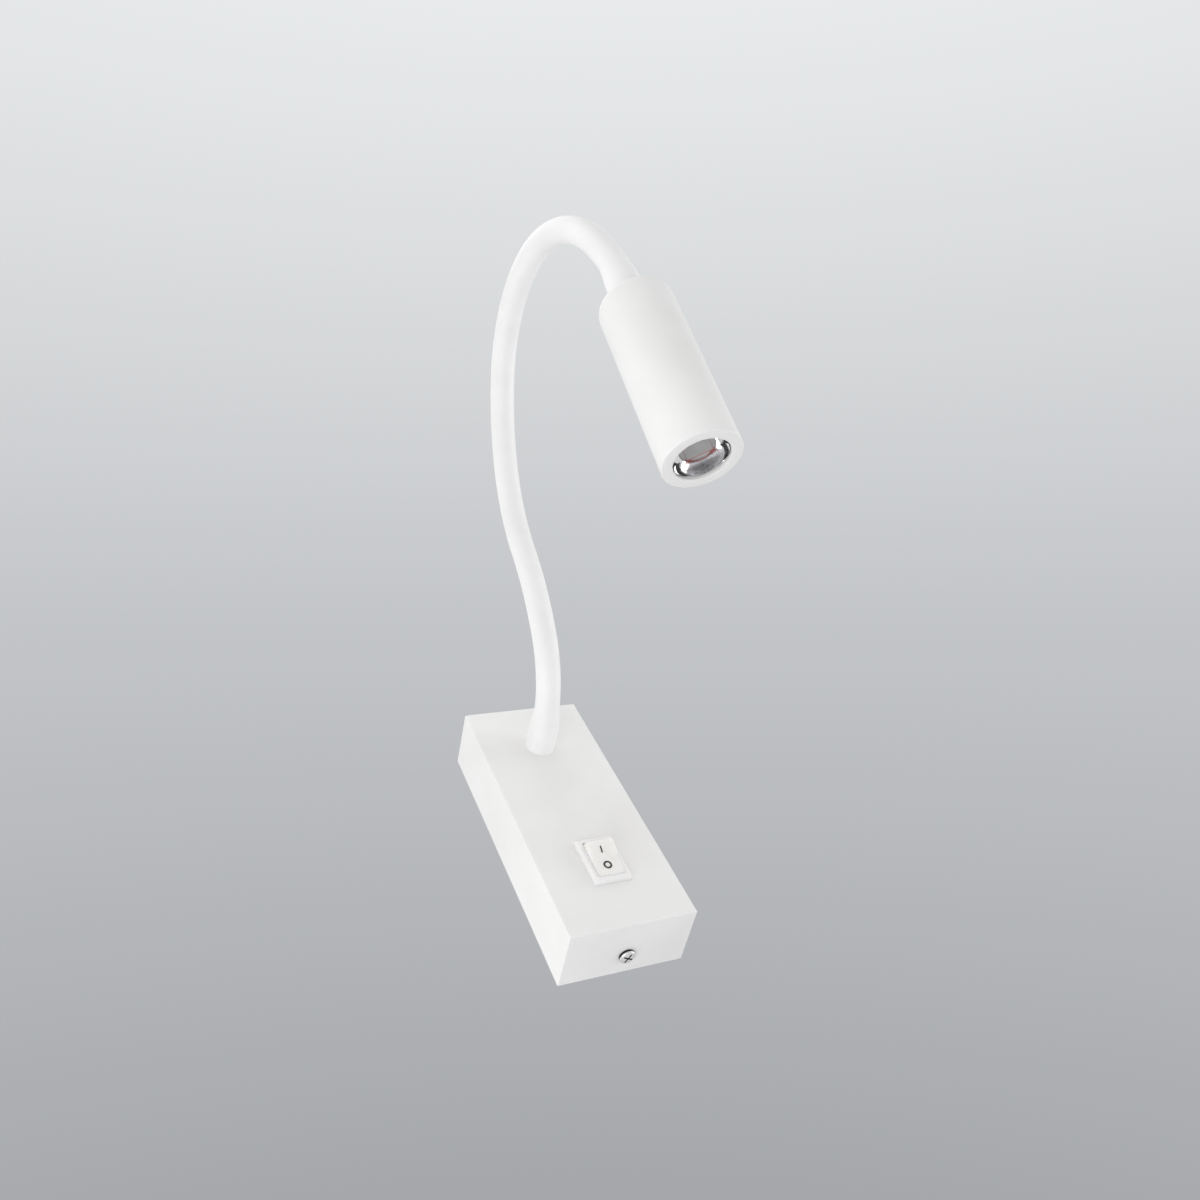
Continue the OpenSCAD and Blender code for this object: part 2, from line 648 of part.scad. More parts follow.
module lens_holder() color("dimgray") head_frame() difference() {
    translate([0, 0, board_front]) cylinder(r = bore_r - 2 * slide_gap, h = lens_seat - board_front);
    translate([0, 0, board_front]) cylinder(r = cone_back_r + cone_gap, h = lens_back - board_front);
    translate([0, 0, lens_back])
        cylinder(r1 = cone_back_r + cone_gap, r2 = cone_front_r + cone_gap, h = lens_seat - lens_back);
    each_small_screw() translate([0, 0, -over])
        cylinder(r = small_head_r + hole_gap, h = small_head_h + hole_gap + over);
}

module led_board() color("silver") head_frame() difference() {
    translate([0, 0, sink_front]) cylinder(r = disc_r, h = disc_t);
    each_small_screw() cylinder(r = small_screw_r + hole_gap, h = 4 * disc_t, center = true);
}

// Square ceramic package with a flat round emitter on it
module led_chip() color("lightgray") head_frame() translate([0, 0, board_front]) rotate(chip_turn) {
    translate([-chip_w / 2, -chip_w / 2, 0]) cube([chip_w, chip_w, chip_t]);
    cylinder(r = emitter_r, h = chip_t + emitter_t);
}

module heat_sink() color("silver") head_frame() difference() {
    translate([0, 0, sink_front - sink_len]) cylinder(r = bore_r - slide_gap, h = sink_len);
    translate([0, 0, sink_front - sink_len - over]) cylinder(r = sink_bore_r, h = sink_len + 2 * over);
    for (z = [2 * groove_w : 2 * groove_w : sink_len - 4 * groove_w])
        translate([0, 0, sink_front - sink_len + z])
            ring(bore_r + over, bore_r - groove_depth, groove_w);
    each_small_screw() cylinder(r = small_screw_r + thread_gap, h = 2 * small_screw_len, center = true);
}

module board_screws() color("silver") head_frame() each_small_screw()
    pan_screw(small_screw_r, small_screw_len, small_head_r, small_head_h);

module head_nipple() color("goldenrod") head_frame() nipple(back_t + nut_t + nipple_spare);

module head_nut() color("silver") head_frame()
    translate([0, 0, back_t]) hex_nut(nut_r, nipple_r + thread_gap, nut_t);

base_cover();
wall_bracket();
bracket_tabs();
cover_screws();
cable_bush();
terminal_block();
terminal_tubes();
terminal_screws();
driver_case();
driver_lid();
driver_board();
driver_parts();
earth_screw();
mains_wires();
arm_nipple();
arm_washer();
arm_nut();
switch_body();
switch_rocker();
switch_blades();
switch_contact();
head_shell();
head_ring();
lens();
lens_holder();
led_board();
led_chip();
heat_sink();
board_screws();
head_nipple();
head_nut();
for (k = [0:links]) arm_sleeve(k);
for (k = [0:links]) arm_hose(k);
for (k = [0:links]) arm_leads(k);
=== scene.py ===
# Flexible wall light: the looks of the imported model, in metres and in the model's own frame.
# The wall is the plane Y = 0, the front faces -Y and Z runs up the wall.
import math

import bmesh
import bpy
from mathutils import Matrix, Vector


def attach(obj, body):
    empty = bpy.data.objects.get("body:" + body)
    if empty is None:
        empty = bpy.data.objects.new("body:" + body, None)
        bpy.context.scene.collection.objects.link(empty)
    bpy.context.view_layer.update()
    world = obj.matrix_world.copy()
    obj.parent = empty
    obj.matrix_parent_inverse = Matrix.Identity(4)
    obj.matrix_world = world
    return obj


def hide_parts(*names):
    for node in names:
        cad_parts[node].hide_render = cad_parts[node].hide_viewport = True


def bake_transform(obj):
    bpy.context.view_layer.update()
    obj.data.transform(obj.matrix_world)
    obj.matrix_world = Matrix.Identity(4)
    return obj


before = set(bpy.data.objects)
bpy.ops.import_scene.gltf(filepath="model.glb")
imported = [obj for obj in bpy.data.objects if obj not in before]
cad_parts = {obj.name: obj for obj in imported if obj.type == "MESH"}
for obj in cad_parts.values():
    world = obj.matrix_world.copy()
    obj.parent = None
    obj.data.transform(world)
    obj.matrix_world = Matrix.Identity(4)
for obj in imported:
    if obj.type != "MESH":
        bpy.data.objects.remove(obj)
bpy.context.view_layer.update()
scene = bpy.context.scene
scene.view_settings.view_transform = "Standard"

MM = 0.001
CLOSE, SNAP = 1e-3, 1e-5  # how near two places count as one, and the merging distance, in millimetres

# Camera, solved from the edges of the base in the photo
CAMERA_AT = (-0.16936, -0.31432, -0.27491)
CAMERA_RIGHT, CAMERA_FORWARD = (0.9006, -0.1957, -0.3882), (0.4310, 0.5180, 0.7389)
CAMERA_LENS, CAMERA_SENSOR, CAMERA_NEAR = 32.883, 36.0, 0.01

# Background fade: its upward direction, its reach to each side, and its colours from bottom to top
FADE_UP, FADE_REACH = (0.0564, -0.8327, 0.5508), 0.48
FADE_LOW, FADE_MIDDLE = (0.374, 0.384, 0.402, 1), (0.552, 0.565, 0.584, 1)
FADE_HIGH = (0.810, 0.826, 0.835, 1)
GLOW_COLOUR, GLOW_STRENGTH = (1.0, 0.995, 0.99, 1), 0.90

# Floor and lamps, in metres and watts
FLOOR_Z, FLOOR_HALF = -0.75, 6.0
SOFTBOX_TARGET, SOFTBOX_DISTANCE, SOFTBOX_SIZE = (0, -0.1, 0.04), 0.9, 0.7
SOFTBOXES = (("key_softbox", (-0.65, -0.20, -0.75), 3.8), ("side_softbox", (0.95, -0.10, -0.10), 3.0),
             ("top_softbox", (-0.10, -0.20, 1.00), 1.6), ("back_softbox", (-0.80, 0.60, 0.00), 1.0))

# Base, in millimetres like all sizes below
BASE_W, BASE_D, BASE_H, COVER_WALL, COVER_EDGE = 50.0, 25.0, 120.0, 1.5, 0.45
FRONT_Y = -BASE_D
ARM_Z, SWITCH_Z, SCREW_Y = 36.0, -30.0, -9.0
CUT_W, CUT_L, ARM_HOLE_R, SCREW_HOLE_R, HOLE_STEPS = 13.0, 19.2, 4.2, 1.7, 48

# Cover screw: shank, head side, crown as steps of rise and radius, and cross recess
SHANK_R, SHANK_LEN, SCREW_R, SCREW_SIDE, SCREW_STEPS = 1.45, 6.9, 3.0, 0.95, 64
CROWN, CROWN_TIP, CROWN_Z = ((0.25, 2.93), (0.2, 2.75), (0.12, 2.5), (0.1, 2.1)), 0.12, 1.35
CROSS_ARM, CROSS_HALF, CROSS_DEPTH, CROSS_TAPER, CROSS_TURN = 2.05, 0.32, 1.2, 0.75, math.radians(62)

# Switch body
FLANGE_W, FLANGE_L, FLANGE_T, FLANGE_ROUND, FLANGE_STEPS = 15.0, 21.0, 2.35, 1.5, 8
BODY_W, BODY_L, BODY_DEPTH = 12.6, 18.8, 12.0
WELL_W, WELL_L, WELL_FLOOR, WELL_ROUND, WELL_STEPS = 10.6, 17.0, 1.5, 0.05, 2

# Rocker, over its pivot: half length at the top and at the foot, and the plunger under its floor
PIVOT_DEPTH, ROCKER_RISE, ROCKER_W, ROCKER_ROUND = 2.0, 3.4, 10.52, 0.12
ROCKER_HALF, ROCKER_FOOT, FOOT_RISE, ROCKER_FLOOR, FLOOR_INSET = 7.134, 8.36, 1.4, -1.5, 1.0
FACE_STOPS = (1.0, 2.2, 3.4, 4.6, 5.8, ROCKER_HALF)
ROCKER_TILT, ROCKER_SLOPE, ROCKER_DISH = math.radians(14), math.radians(8), 0.08
PLUNGER_R, PLUNGER_LEN = 1.2, 3.1

# Printed marks: place across and along the rocker, and sizes
BAR_PLACE, BAR_HALF_W, BAR_HALF_L, BAR_STEPS = (-0.5, 3.6), 0.27, 1.3, 6
RING_PLACE, RING_R, RING_WIDTH, RING_STEPS = (-0.2, -2.85), 1.65, 0.68, 64
INK_T = 0.09

# Arm: a straight root, the rest bend of each link, and the sleeve with its foot and its collar
ROOT_LEN, LINK_LEN = 10.0, 39.0
BENDS = [math.radians(b) for b in (51, 19, -27, -23, -39, -40, -32, -21)]
LINKS = len(BENDS)
SLEEVE_R, SLEEVE_BORE_R, FOOT_R, COLLAR_R = 5.0, 3.6, 6.1, 6.1
FOOT_LEN, FOOT_END, COLLAR_LEN, COLLAR_START = 8.0, 22.0, 6.0, 22.0
COLLAR_SHIFT = Vector((-0.15, -0.7, 0.0))
SLEEVE_SIDES, SLEEVE_STEPS = 56, 14

# Head, along its axis from the back face
HEAD_R, HEAD_BACK_R, HEAD_LEN, HEAD_BORE_R = 13.0, 12.75, 69.0, 11.2
HEAD_BACK, HEAD_HOLE_R, NECK_LEN = 3.0, 4.2, 1.0
BACK_ROUND, BACK_STEPS, FRONT_ROUND, OPENING_ROUND, ROUND_STEPS = 4.0, 12, 0.4, 0.35, 3
OPENING_R, LIP_T, LENS_R, LENS_FLANGE_T, LENS_DEPTH, LENS_PLAY = 9.25, 1.2, 10.3, 1.5, 5.0, 0.1
LENS_FRONT = HEAD_LEN - LIP_T
LENS_SEAT = LENS_FRONT - LENS_FLANGE_T
LENS_BACK = LENS_SEAT - LENS_DEPTH
RIM_R, DOME_DROP, DOME_PLAY, DOME_STEPS = 9.6, 0.5, 0.05, 12
CONE_FRONT_R, CONE_MIDDLE_R, CONE_BACK_R = 9.3, 7.7, 5.8
CHIP_TURN, LACQUER_HALF_W, LACQUER_HALF_L, LACQUER_FADE = math.radians(38), 4.05, 5.2, 0.1


def place_camera():
    right = Vector(CAMERA_RIGHT).normalized()
    forward = Vector(CAMERA_FORWARD).normalized()
    up = right.cross(forward)
    right = forward.cross(up)
    data = bpy.data.cameras.new("photo_camera")
    data.lens, data.sensor_width, data.clip_start = CAMERA_LENS, CAMERA_SENSOR, CAMERA_NEAR
    camera = bpy.data.objects.new("photo_camera", data)
    turn = Matrix((right, up, -forward)).transposed().to_4x4()
    camera.matrix_world = Matrix.Translation(CAMERA_AT) @ turn
    scene.collection.objects.link(camera)
    scene.camera = camera


# Materials
class Finish:
    """One procedural material: a Principled shader and the textures that feed it."""

    def __init__(self, name, **values):
        self.material = bpy.data.materials.new(name)
        self.material.use_nodes = True
        self.nodes = self.material.node_tree.nodes
        self.shader = self.nodes["Principled BSDF"]
        self.object_coords = self.node("ShaderNodeTexCoord").outputs["Object"]
        for socket, value in values.items():
            self.shader.inputs[socket.replace("_", " ")].default_value = value

    def node(self, kind):
        return self.nodes.new(kind)

    def link(self, source, target):
        self.material.node_tree.links.new(source, target)

    def noise(self, scale, detail=2.0, stretch=None):
        noise = self.node("ShaderNodeTexNoise")
        noise.inputs["Scale"].default_value = scale
        noise.inputs["Detail"].default_value = detail
        coords = self.object_coords
        if stretch:
            mapping = self.node("ShaderNodeMapping")
            mapping.inputs["Scale"].default_value = stretch
            self.link(coords, mapping.inputs["Vector"])
            coords = mapping.outputs["Vector"]
        self.link(coords, noise.inputs["Vector"])
        return noise.outputs["Fac"]

    def tint(self, fac, dark, light, low=0.35, high=0.65):
        ramp = self.node("ShaderNodeValToRGB")
        for stop, place, colour in zip(ramp.color_ramp.elements, (low, high), (dark, light)):
            stop.position, stop.color = place, (*colour, 1.0)
        self.link(fac, ramp.inputs["Fac"])
        self.link(ramp.outputs["Color"], self.shader.inputs["Base Color"])

    def gloss(self, fac, low, high):
        span = self.node("ShaderNodeMapRange")
        span.inputs["From Min"].default_value, span.inputs["From Max"].default_value = 0.3, 0.7
        span.inputs["To Min"].default_value, span.inputs["To Max"].default_value = low, high
        self.link(fac, span.inputs["Value"])
        self.link(span.outputs["Result"], self.shader.inputs["Roughness"])

    def relief(self, fac, depth_mm, strength=0.5):
        bump = self.node("ShaderNodeBump")
        bump.inputs["Strength"].default_value = strength
        bump.inputs["Distance"].default_value = depth_mm * MM
        self.link(fac, bump.inputs["Height"])
        self.link(bump.outputs["Normal"], self.shader.inputs["Normal"])


def powder_coat():
    f = Finish("white_powder_coat", Specular_IOR_Level=0.45)
    f.tint(f.noise(35, 3), (0.800, 0.797, 0.790), (0.835, 0.833, 0.828))
    f.gloss(f.noise(420, 2), 0.40, 0.52)
    f.relief(f.noise(1900, 2), 0.03, 0.35)
    return f.material


def silicone():
    f = Finish("white_silicone", Specular_IOR_Level=0.4, Sheen_Weight=0.12, Sheen_Roughness=0.4)
    f.tint(f.noise(60, 3), (0.830, 0.830, 0.828), (0.865, 0.865, 0.863))
    f.gloss(f.noise(300, 2), 0.46, 0.60)
    f.relief(f.noise(2600, 2), 0.015, 0.3)
    return f.material


def moulded_plastic(name, dark, light, low, high, grain=1500, depth_mm=0.012, **extra):
    f = Finish(name, Specular_IOR_Level=0.5, **extra)
    f.tint(f.noise(80, 3), dark, light)
    f.gloss(f.noise(500, 2), low, high)
    f.relief(f.noise(grain, 2), depth_mm, 0.3)
    return f.material


def metal(name, dark, light, low, high, stretch=None, grain=900, depth_mm=0.01):
    f = Finish(name, Metallic=1.0)
    f.tint(f.noise(150, 4), dark, light)
    f.gloss(f.noise(700, 3, stretch), low, high)
    f.relief(f.noise(grain, 3, stretch), depth_mm, 0.25)
    return f.material


def clear_optic():
    f = Finish("clear_optic", Base_Color=(0.97, 0.975, 0.98, 1.0), Transmission_Weight=1.0, IOR=1.49)
    f.gloss(f.noise(900, 2), 0.0, 0.02)
    return f.material


MILKY = {"Subsurface_Weight": 0.35, "Subsurface_Scale": 0.002, "Subsurface_Radius": (1.0, 0.9, 0.8)}

POWDER = powder_coat()
SILICONE = silicone()
FLANGE_PLASTIC = moulded_plastic("flange_plastic", (0.825, 0.815, 0.81), (0.85, 0.84, 0.835),
                                 0.26, 0.36, **MILKY)
ROCKER_PLASTIC = moulded_plastic("rocker_plastic", (0.84, 0.83, 0.805), (0.87, 0.86, 0.84),
                                 0.26, 0.36, **MILKY)
MARK_INK = moulded_plastic("mark_ink", (0.012, 0.012, 0.013), (0.022, 0.022, 0.024), 0.35, 0.5)
CHROME = metal("screw_chrome", (0.86, 0.86, 0.87), (0.95, 0.95, 0.95), 0.24, 0.34)
# Near-black metal on the screw head's side wall and cross recess: painted shade and painted dark reflection,
# not a burnished finish
SCREW_PAINTED_SHADE = metal("screw_painted_shade", (0.025, 0.025, 0.027), (0.05, 0.05, 0.053), 0.3, 0.45)
ZINC = metal("zinc_plate", (0.52, 0.53, 0.55), (0.70, 0.71, 0.73), 0.28, 0.46, grain=600)
BRASS = metal("brass", (0.62, 0.43, 0.16), (0.80, 0.60, 0.28), 0.22, 0.38)
BARE_ALUMINIUM = metal("turned_aluminium", (0.60, 0.61, 0.62), (0.76, 0.77, 0.78), 0.25, 0.42)
RUBBER = moulded_plastic("bush_rubber", (0.018, 0.018, 0.018), (0.035, 0.035, 0.034), 0.55, 0.75)
BLOCK = moulded_plastic("block_plastic", (0.70, 0.69, 0.63), (0.80, 0.79, 0.73), 0.35, 0.5)
CASE = moulded_plastic("case_plastic", (0.66, 0.66, 0.65), (0.75, 0.75, 0.74), 0.42, 0.58,
                       grain=900, depth_mm=0.03)
BOARD_GREEN = moulded_plastic("board_green", (0.02, 0.14, 0.055), (0.035, 0.22, 0.09), 0.28, 0.42)
PART_BLACK = moulded_plastic("part_black", (0.015, 0.015, 0.017), (0.035, 0.035, 0.038), 0.35, 0.55)
WIRE_BROWN = moulded_plastic("wire_brown", (0.16, 0.065, 0.03), (0.24, 0.11, 0.055), 0.35, 0.5)
LEAD_RED = moulded_plastic("lead_red", (0.42, 0.03, 0.025), (0.58, 0.06, 0.05), 0.35, 0.5)
REFLECTOR = metal("reflector_silver", (0.80, 0.78, 0.80), (0.89, 0.87, 0.89), 0.20, 0.30)
OPTIC = clear_optic()
CERAMIC = moulded_plastic("led_ceramic", (0.64, 0.63, 0.62), (0.74, 0.73, 0.72), 0.35, 0.5, grain=3000)


# Mesh helpers: millimetres in, a finished piece at the origin out
def make_piece(bm, name, material, body=None, nodes=(), smooth=35):
    bmesh.ops.scale(bm, vec=(MM, MM, MM), verts=bm.verts)
    mesh = bpy.data.meshes.new(name)
    bm.to_mesh(mesh)
    bm.free()
    mesh.materials.append(material)
    mesh.shade_smooth()
    mesh.set_sharp_from_angle(angle=math.radians(smooth))
    piece = bpy.data.objects.new(name, mesh)
    scene.collection.objects.link(piece)
    if body:
        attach(piece, body)
    if nodes:
        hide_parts(*nodes)
    return piece


def bevel_edges(bm, edges, radius, segments=3):
    bmesh.ops.bevel(bm, geom=edges, offset=radius, offset_type="OFFSET", affect="EDGES",
                    segments=segments, profile=0.5, material=-1, clamp_overlap=True)


def edges_where(bm, test):
    return [e for e in bm.edges if test(e.verts[0].co, e.verts[1].co)]


def verts_of(geom):
    return [g for g in geom if isinstance(g, bmesh.types.BMVert)]


def edges_of(geom):
    return [g for g in geom if isinstance(g, bmesh.types.BMEdge)]


def box(bm, low, high):
    size = [h - l for l, h in zip(low, high)]
    middle = Vector([(l + h) / 2 for l, h in zip(low, high)])
    place = Matrix.Translation(middle) @ Matrix.Diagonal((*size, 1.0))
    bmesh.ops.create_cube(bm, size=1.0, matrix=place)


def split_faces(bm, faces, point, normal):
    geom = list({g for f in faces for g in (f, *f.edges, *f.verts)})
    bmesh.ops.bisect_plane(bm, geom=geom, dist=SNAP, plane_co=point, plane_no=normal)


def push_face(bm, face, move=(0, 0, 0), scale=(1, 1, 1)):
    """Extrude one face, then scale it about its middle and move it; gives the new end face."""
    made = bmesh.ops.extrude_face_region(bm, geom=[face])["geom"]
    end = [g for g in made if isinstance(g, bmesh.types.BMFace)][0]
    bmesh.ops.delete(bm, geom=[face], context="FACES_ONLY")
    middle = end.calc_center_median()
    bmesh.ops.scale(bm, vec=scale, verts=end.verts, space=Matrix.Translation(-middle))
    bmesh.ops.translate(bm, vec=move, verts=end.verts)
    return end


def lathe(profile, rounds=(), steps=96):
    """Spin a closed outline of (radius, height) about Z; rounds lists (corner, radius, segments)."""
    bm = bmesh.new()
    verts = [bm.verts.new((r, 0.0, z)) for r, z in profile]
    edges = [bm.edges.new((a, b)) for a, b in zip(verts, verts[1:] + verts[:1])]
    bmesh.ops.spin(bm, geom=verts + edges, cent=(0, 0, 0), axis=(0, 0, 1),
                   angle=2 * math.pi, steps=steps, use_merge=True, use_duplicate=False)
    bmesh.ops.remove_doubles(bm, verts=bm.verts, dist=SNAP)
    bmesh.ops.recalc_face_normals(bm, faces=bm.faces)
    for corner, radius, segments in rounds:
        r, z = profile[corner]

        def on_corner(p, r=r, z=z):
            return abs(math.hypot(p.x, p.y) - r) < CLOSE and abs(p.z - z) < CLOSE

        bevel_edges(bm, edges_where(bm, lambda a, b: on_corner(a) and on_corner(b)), radius, segments)
    return bm


# Base
def cut_hole(bm, axis, middle, half, radius=0.0):
    """Cut a window, or a round hole within it, out of the flat wall across an axis; gives the hole's edges."""
    sides = [a for a in range(3) if a != axis]

    def wall_faces():
        return [f for f in bm.faces if all(abs(v.co[axis] - middle[axis]) < CLOSE for v in f.verts)]

    for side, reach in zip(sides, half):
        normal = Vector([float(a == side) for a in range(3)])
        for end in (-reach, reach):
            split_faces(bm, wall_faces(), middle + normal * end, normal)
    window = [f for f in wall_faces()
              if all(abs((f.calc_center_median() - middle)[a]) < reach for a, reach in zip(sides, half))]
    rim = list({e for f in window for e in f.edges})
    bmesh.ops.delete(bm, geom=window, context="FACES")
    if not radius:
        return rim
    turn = Matrix.Rotation(math.pi / 2, 4, "X") if axis == 1 else Matrix.Identity(4)
    place = Matrix.Translation(middle) @ turn
    circle = bmesh.ops.create_circle(bm, radius=radius, segments=HOLE_STEPS, matrix=place)["verts"]
    ring = [e for e in bm.edges if e.verts[0] in circle and e.verts[1] in circle]
    bmesh.ops.triangle_fill(bm, edges=rim + ring, use_beauty=True)
    return ring


def make_base_cover():
    bm = bmesh.new()
    box(bm, (-BASE_W / 2, FRONT_Y, -BASE_H / 2), (BASE_W / 2, 0, BASE_H / 2))
    bevel_edges(bm, edges_where(bm, lambda a, b: min(a.y, b.y) < -CLOSE), COVER_EDGE)
    back = [f for f in bm.faces if all(abs(v.co.y) < CLOSE for v in f.verts)]
    bmesh.ops.delete(bm, geom=back, context="FACES")
    cut_hole(bm, 1, Vector((0, FRONT_Y, ARM_Z)), (CUT_W / 2, CUT_W / 2), ARM_HOLE_R)
    cut_hole(bm, 1, Vector((0, FRONT_Y, SWITCH_Z)), (CUT_W / 2, CUT_L / 2))
    for end in (-BASE_H / 2, BASE_H / 2):
        cut_hole(bm, 2, Vector((0, SCREW_Y, end)), (SCREW_R, SCREW_R), SCREW_HOLE_R)
    bmesh.ops.recalc_face_normals(bm, faces=bm.faces)
    bmesh.ops.solidify(bm, geom=bm.faces[:], thickness=COVER_WALL)
    make_piece(bm, "base_cover_shell", POWDER, "base", ["base_cover"], smooth=50)


def sink_cross(bm):
    """Press the cross recess into the screw's crown; gives the vertices of its floor."""
    for axis in ((1, 0, 0), (0, 1, 0)):
        for reach in (-CROSS_ARM, -CROSS_HALF, CROSS_HALF, CROSS_ARM):
            crown = [f for f in bm.faces if f.calc_center_median().z > CROWN_Z]
            split_faces(bm, crown, Vector(axis) * reach, axis)

    def in_cross(p):
        across, along = sorted((abs(p.x), abs(p.y)))
        return p.z > CROWN_Z and across < CROSS_HALF and along < CROSS_ARM

    cross = [f for f in bm.faces if in_cross(f.calc_center_median())]
    made = bmesh.ops.extrude_face_region(bm, geom=cross)["geom"]
    bmesh.ops.delete(bm, geom=cross, context="FACES_ONLY")
    sunk = verts_of(made)
    bmesh.ops.scale(bm, vec=(CROSS_TAPER, CROSS_TAPER, 1), verts=sunk)
    bmesh.ops.translate(bm, vec=(0, 0, -CROSS_DEPTH), verts=sunk)
    bmesh.ops.remove_doubles(bm, verts=bm.verts, dist=SNAP)
    return {v for v in sunk if v.is_valid}


def make_cover_screw(name, end, nodes):
    """Pan head screw with a cross recess; end is +1 at the top and -1 at the bottom."""
    bm = bmesh.new()
    bmesh.ops.create_circle(bm, cap_ends=True, radius=SHANK_R, segments=SCREW_STEPS,
                            matrix=Matrix.Translation((0, 0, -SHANK_LEN)))
    top = bm.faces[:][0]
    tip = top.verts[:]
    for rise, radius in ((SHANK_LEN, SHANK_R), (0, SCREW_R), (SCREW_SIDE, SCREW_R), *CROWN):
        spread = radius / max(v.co.xy.length for v in top.verts)
        top = push_face(bm, top, (0, 0, rise), (spread, spread, 1))
    bm.faces.new(tip)
    bmesh.ops.poke(bm, faces=[top], offset=CROWN_TIP)
    recess = sink_cross(bm)
    # Painted shade: the cross recess and the head's side wall take the near-black second material, which
    # stands in for the shade and dark reflection there
    for f in bm.faces:
        if any(v in recess for v in f.verts) or CLOSE < f.calc_center_median().z < SCREW_SIDE:
            f.material_index = 1
    bmesh.ops.recalc_face_normals(bm, faces=bm.faces)
    turn = Matrix.Rotation(CROSS_TURN, 4, "Z")
    flip = Matrix.Rotation(0 if end > 0 else math.pi, 4, "X")
    seat = Matrix.Translation((0, SCREW_Y, end * BASE_H / 2))
    bmesh.ops.transform(bm, matrix=seat @ flip @ turn, verts=bm.verts)
    piece = make_piece(bm, name, CHROME, "base", nodes)
    piece.data.materials.append(SCREW_PAINTED_SHADE)


# Switch
def make_switch_body():
    bm = bmesh.new()
    half_w, half_l, back_y = BODY_W / 2, BODY_L / 2, FRONT_Y + BODY_DEPTH
    corners = [(-half_w, -half_l), (half_w, -half_l), (half_w, half_l), (-half_w, half_l)]
    back = [bm.verts.new((x, back_y, SWITCH_Z + z)) for x, z in corners]
    front = push_face(bm, bm.faces.new(back), (0, -BODY_DEPTH, 0))
    bm.faces.new(back)
    front = push_face(bm, front, (0, 0, 0), (FLANGE_W / BODY_W, 1, FLANGE_L / BODY_L))
    front = push_face(bm, front, (0, -FLANGE_T, 0))
    front = push_face(bm, front, (0, 0, 0), (WELL_W / FLANGE_W, 1, WELL_L / FLANGE_L))
    push_face(bm, front, (0, FLANGE_T + BODY_DEPTH - WELL_FLOOR, 0))
    bmesh.ops.recalc_face_normals(bm, faces=bm.faces)
    for width, radius, segments in ((FLANGE_W, FLANGE_ROUND, FLANGE_STEPS), (WELL_W, WELL_ROUND, WELL_STEPS)):

        def on_loop(p, width=width):
            return abs(p.y - FRONT_Y + FLANGE_T) < CLOSE and abs(abs(p.x) - width / 2) < CLOSE

        bevel_edges(bm, edges_where(bm, lambda a, b: on_loop(a) and on_loop(b)), radius, segments)
    make_piece(bm, "switch_housing", FLANGE_PLASTIC, "base", ["switch_body"])


def rocker_place():
    """From the rocker's own frame (x across, y up the switch, z out of the panel) to its rest pose."""
    axes = Matrix(((1, 0, 0), (0, 0, -1), (0, 1, 0))).to_4x4()
    pivot = Matrix.Translation((0, FRONT_Y + PIVOT_DEPTH, SWITCH_Z))
    return pivot @ Matrix.Rotation(ROCKER_TILT, 4, "X") @ axes


def rocker_top(along):
    """Height of the rocker's face over its pivot: both halves slope up to their ends, with a slight dish."""
    share = abs(along) / ROCKER_HALF
    dish = 4 * ROCKER_DISH * share * (1 - share)
    return PIVOT_DEPTH + ROCKER_RISE + abs(along) * math.tan(ROCKER_SLOPE) - dish


def make_rocker():
    half = [(along, rocker_top(along)) for along in FACE_STOPS]
    half += [(ROCKER_FOOT, FOOT_RISE), (ROCKER_HALF - FLOOR_INSET, ROCKER_FLOOR)]
    outline = [(0.0, rocker_top(0.0))] + half + [(-u, v) for u, v in reversed(half)]
    bm = bmesh.new()
    side = bm.faces.new([bm.verts.new((-ROCKER_W / 2, u, v)) for u, v in outline])
    bmesh.ops.recalc_face_normals(bm, faces=[side])
    made = bmesh.ops.extrude_face_region(bm, geom=[side], use_keep_orig=True)["geom"]
    bmesh.ops.translate(bm, vec=(ROCKER_W, 0, 0), verts=verts_of(made))
    bmesh.ops.recalc_face_normals(bm, faces=bm.faces)
    crest = rocker_top(ROCKER_HALF) - CLOSE
    bevel_edges(bm, edges_where(bm, lambda a, b: abs(a.x - b.x) > CLOSE and a.z > crest), ROCKER_ROUND)
    rim = edges_where(bm, lambda a, b: abs(a.x - b.x) < CLOSE and min(a.z, b.z) > FOOT_RISE - CLOSE)
    bevel_edges(bm, rim, ROCKER_ROUND)
    ring = cut_hole(bm, 2, Vector((0, 0, ROCKER_FLOOR)), (2 * PLUNGER_R, 2 * PLUNGER_R), PLUNGER_R)
    made = bmesh.ops.extrude_edge_only(bm, edges=ring)["geom"]
    bmesh.ops.translate(bm, vec=(0, 0, -PLUNGER_LEN), verts=verts_of(made))
    bmesh.ops.triangle_fill(bm, edges=edges_of(made), use_beauty=True)
    bmesh.ops.recalc_face_normals(bm, faces=bm.faces)
    bmesh.ops.transform(bm, matrix=rocker_place(), verts=bm.verts)
    make_piece(bm, "rocker_cap", ROCKER_PLASTIC, "rocker", ["switch_rocker"], smooth=30)


def add_mark(bm, name, place):
    """Raise a flat mark to the thickness of the ink and lay it on the rocker's slope."""
    made = bmesh.ops.extrude_face_region(bm, geom=bm.faces[:], use_keep_orig=True)["geom"]
    bmesh.ops.translate(bm, vec=(0, 0, INK_T), verts=verts_of(made))
    bmesh.ops.translate(bm, vec=(*place, -INK_T / 3), verts=bm.verts)
    for v in bm.verts:
        v.co.z += rocker_top(v.co.y)
    bmesh.ops.recalc_face_normals(bm, faces=bm.faces)
    bmesh.ops.transform(bm, matrix=rocker_place(), verts=bm.verts)
    make_piece(bm, name, MARK_INK, "rocker")


